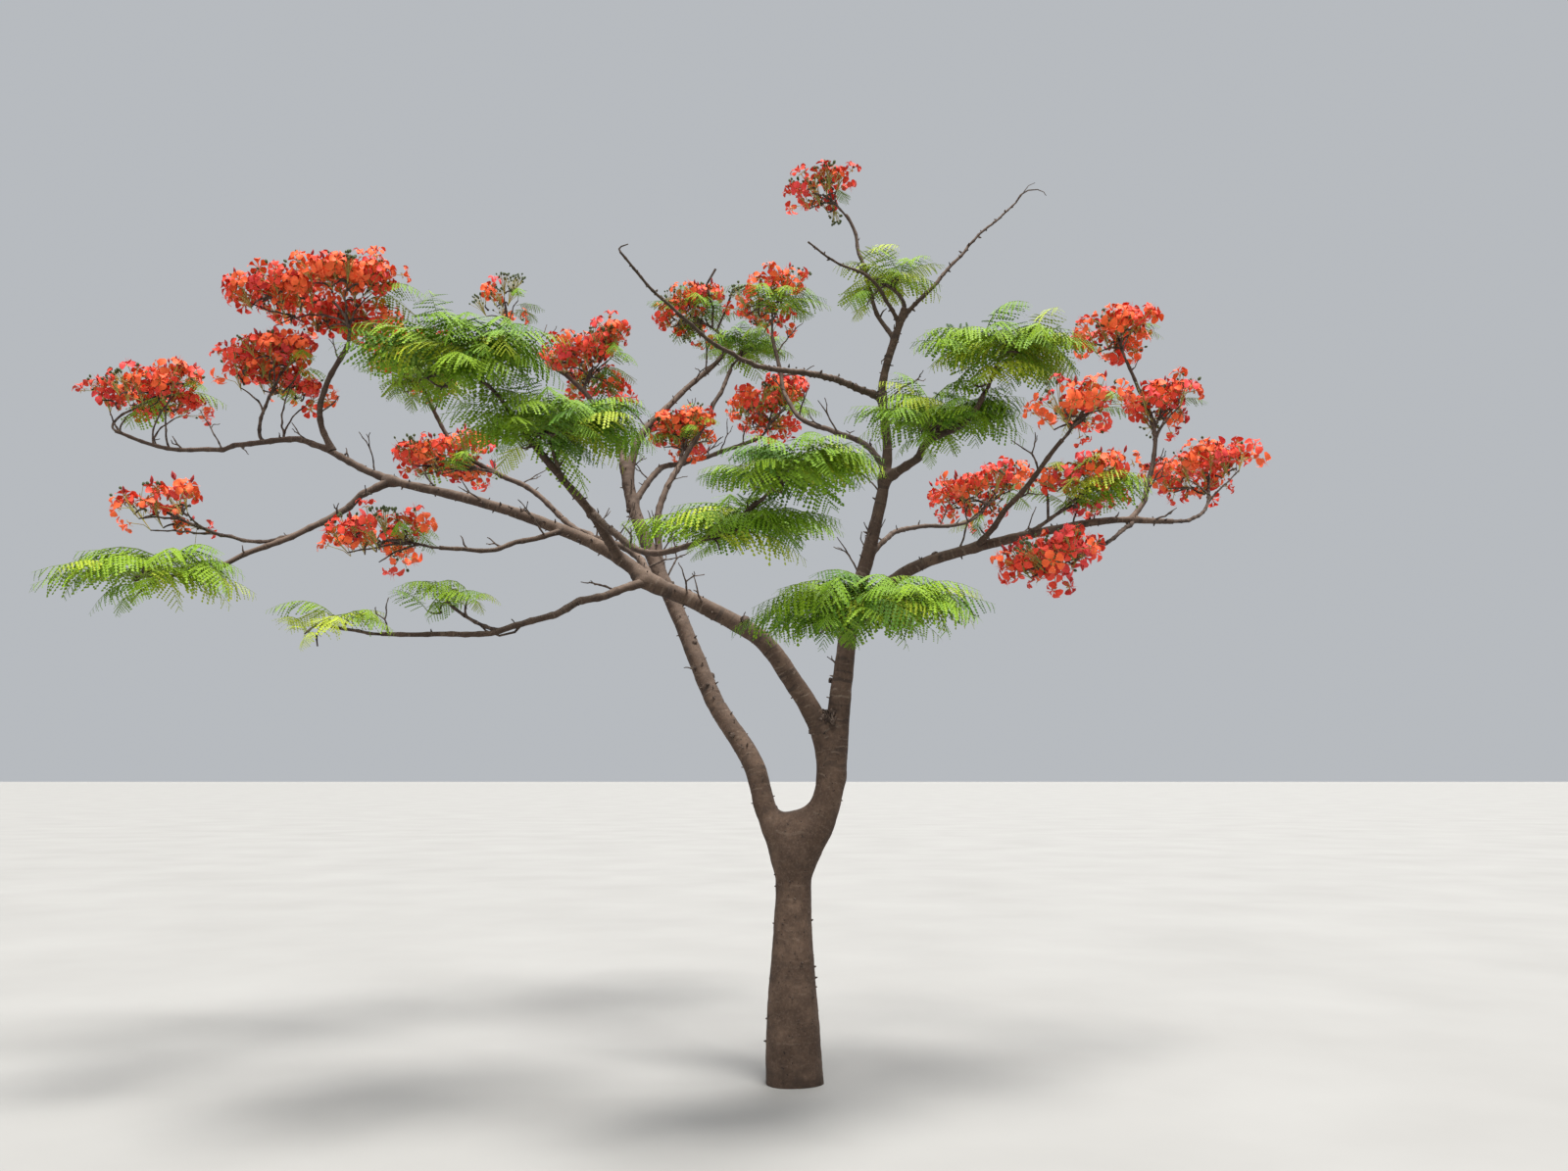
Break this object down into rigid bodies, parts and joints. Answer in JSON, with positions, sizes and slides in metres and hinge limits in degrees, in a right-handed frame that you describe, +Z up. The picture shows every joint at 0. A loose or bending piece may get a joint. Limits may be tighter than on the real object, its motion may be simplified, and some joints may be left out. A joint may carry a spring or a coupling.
{
  "type": "flame tree",
  "caption": "Rooted flame tree with a low fork, spreading tapering boughs, and open masses of feathery leaves and red blossom.",
  "frame": {"origin": "middle of the flat cut under the trunk, at ground level", "axes": "+Z up the trunk, +X along the crown's width, towards the side of the short right bough"},
  "size_m": [6.9616, 4.4928, 5.2011],
  "materials": {
    "bark": "matt grey-brown bark",
    "foliage": "matt fresh green leaves",
    "blossom": "soft scarlet petals"
  },
  "bodies": {
    "root": {"trunk": "bark", "leader": "bark", "stem_back": "bark", "bough_left_low": "bark", "bough_left_mid": "bark", "bough_left_tip": "bark", "riser_left": "bark", "bough_left_drop": "bark", "bough_front_low": "bark", "spur_under": "bark", "bough_front_left": "bark", "bough_front": "bark", "bough_back_left": "bark", "riser_back": "bark", "stem_back_right": "bark", "stem_back_left": "bark", "bough_back": "bark", "arm_left": "bark", "arm_back": "bark", "bough_right": "bark", "riser_right": "bark", "riser_right_front": "bark", "bough_right_back": "bark", "arm_right": "bark", "riser_top": "bark", "arm_top_right": "bark", "arm_top_left": "bark", "blossom_left_end": "blossom", "blossom_left_high": "blossom", "blossom_left_mid": "blossom", "blossom_left_drop": "blossom", "leaves_left_drop": "foliage", "leaves_front_low_tip": "foliage", "leaves_front_low": "foliage", "blossom_under": "blossom", "leaves_front_left_high": "foliage", "leaves_front_left_low": "foliage", "leaves_back_left": "foliage", "blossom_back_left": "blossom", "blossom_buds": "blossom", "blossom_back_high": "blossom", "blossom_hub_left": "blossom", "blossom_hub_right": "blossom", "blossom_pillar": "blossom", "blossom_back_mid": "blossom", "leaves_back_high": "foliage", "leaves_front_tip": "foliage", "leaves_front_mid": "foliage", "leaves_spur_front": "foliage", "leaves_right_high": "foliage", "leaves_right_low": "foliage", "blossom_top": "blossom", "leaves_top": "foliage", "blossom_right_top": "blossom", "blossom_right_mid": "blossom", "blossom_right_front": "blossom", "blossom_right_end": "blossom", "blossom_right_under": "blossom", "blossom_right_back": "blossom", "leaves_right_mid": "foliage"}
  },
  "joints": []
}
